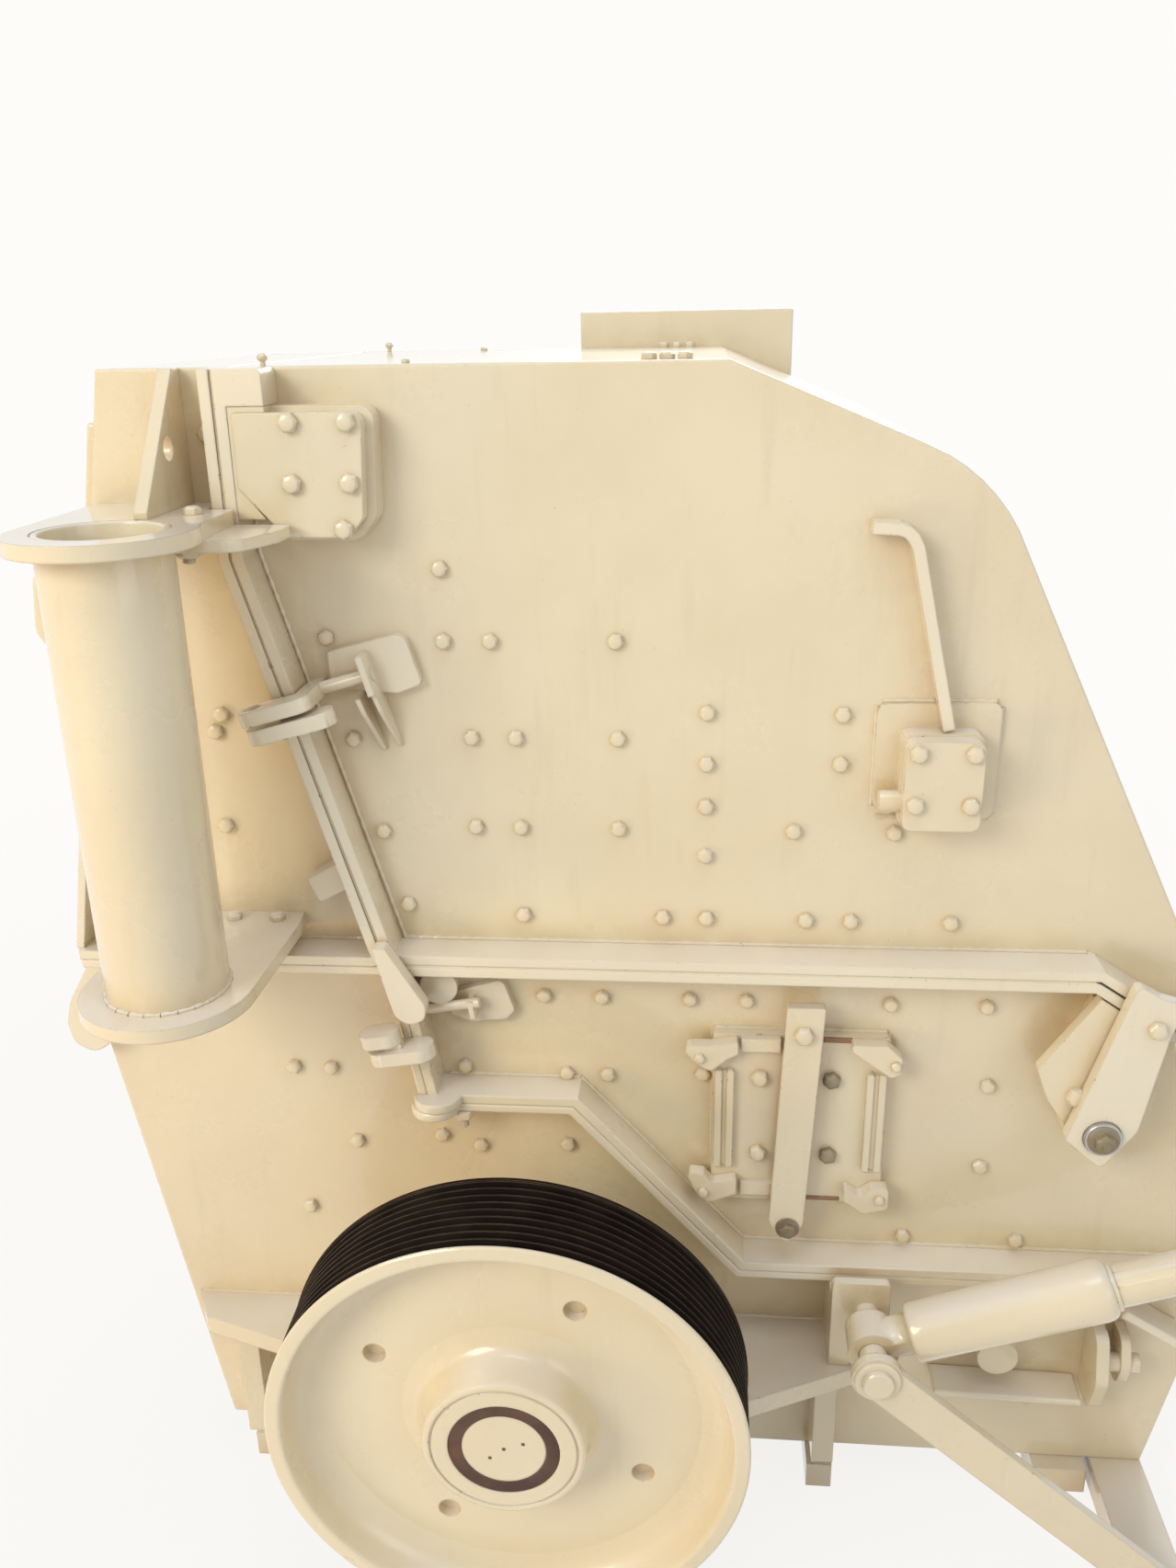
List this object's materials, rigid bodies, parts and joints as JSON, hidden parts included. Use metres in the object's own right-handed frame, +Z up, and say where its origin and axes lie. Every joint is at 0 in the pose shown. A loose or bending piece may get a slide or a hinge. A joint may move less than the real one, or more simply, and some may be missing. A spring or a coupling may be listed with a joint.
{
  "type": "compound impact crusher",
  "caption": "Welded impact crusher with a belt-driven rotor, feed opening, inspection doors and a rear housing that hinges open on hydraulic cylinders.",
  "frame": {"origin": "on the floor, at the middle of the four stated foot bolt holes, below the rotor axis and midway between the side walls", "axes": "+X along the machine from the feed end to the discharge end, +Y across it away from the pulley, +Z up"},
  "size_m": [3.1561, 2.238, 3.153],
  "materials": {
    "cream_paint": "satin",
    "dark_iron": "matt",
    "rust_brown": "matt",
    "bright_steel": "machined",
    "wear_iron": "matt"
  },
  "bodies": {
    "housing": {"base_side_walls": "cream_paint", "base_end_walls": "cream_paint", "base_feet": "cream_paint", "base_flanges": "cream_paint", "feed_side_walls": "cream_paint", "feed_front_wall": "cream_paint", "feed_roof": "cream_paint", "feed_frame": "cream_paint", "feed_flanges": "cream_paint", "middle_side_walls": "cream_paint", "middle_rear_wall": "cream_paint", "middle_flanges": "cream_paint", "inspection_doors": "cream_paint", "door_fixings": "cream_paint", "bearing_shelves": "cream_paint", "bearing_housings": "cream_paint", "jib_tube": "cream_paint", "jib_plates": "cream_paint", "lifting_gusset": "cream_paint", "fixed_clamps": "cream_paint", "hinge_lugs": "cream_paint", "hinge_pins": "bright_steel", "cylinder_brackets": "cream_paint", "strut_bars": "cream_paint"},
    "rear_housing": {"rear_side_walls": "cream_paint", "rear_shell": "cream_paint", "rear_flanges": "cream_paint", "front_apron_boxes": "cream_paint", "rear_apron_boxes": "cream_paint", "bent_ribs": "cream_paint", "hinge_arms": "cream_paint", "swing_clamps": "cream_paint", "top_plate": "cream_paint", "front_apron": "wear_iron", "rear_apron": "wear_iron"},
    "rotor": {"pulley": "cream_paint", "groove_band": "dark_iron", "rotor_shaft": "cream_paint", "lock_ring": "rust_brown", "rotor_body": "wear_iron", "blow_bars": "wear_iron"},
    "barrel_near": {"cylinder_barrel_near": "cream_paint"},
    "rod_near": {"cylinder_rod_near": "cream_paint"},
    "barrel_far": {"cylinder_barrel_far": "cream_paint"},
    "rod_far": {"cylinder_rod_far": "cream_paint"}
  },
  "joints": [
    {"name": "rear_housing_hinge", "type": "hinge", "parent": "housing", "child": "rear_housing", "pos_m": [1.418, 0, 1.252], "axis": [0, 1, 0], "range_deg": [0, 45]},
    {"name": "rotor_spin", "type": "hinge", "parent": "housing", "child": "rotor", "pos_m": [0, 0, 0.655], "axis": [0, 1, 0], "continuous": true},
    {"name": "barrel_swing_near", "type": "hinge", "parent": "housing", "child": "barrel_near", "pos_m": [0.885, -0.88, 0.705], "axis": [0, 1, 0], "range_deg": [0, 13.7]},
    {"name": "rod_slide_near", "type": "slide", "parent": "barrel_near", "child": "rod_near", "axis": [0.9409, 0, 0.3387], "range_m": [-0.3167, 0]},
    {"name": "barrel_swing_far", "type": "hinge", "parent": "housing", "child": "barrel_far", "pos_m": [0.885, 0.88, 0.705], "axis": [0, 1, 0], "range_deg": [0, 13.7]},
    {"name": "rod_slide_far", "type": "slide", "parent": "barrel_far", "child": "rod_far", "axis": [0.9409, 0, 0.3387], "range_m": [-0.3167, 0]}
  ],
  "couplings": [
    {"joint": "barrel_swing_near", "follows": "rear_housing_hinge", "ratio": 0.30437},
    {"joint": "rod_slide_near", "follows": "rear_housing_hinge", "m_per_rad": -0.40326},
    {"joint": "barrel_swing_far", "follows": "rear_housing_hinge", "ratio": 0.30437},
    {"joint": "rod_slide_far", "follows": "rear_housing_hinge", "m_per_rad": -0.40326}
  ]
}
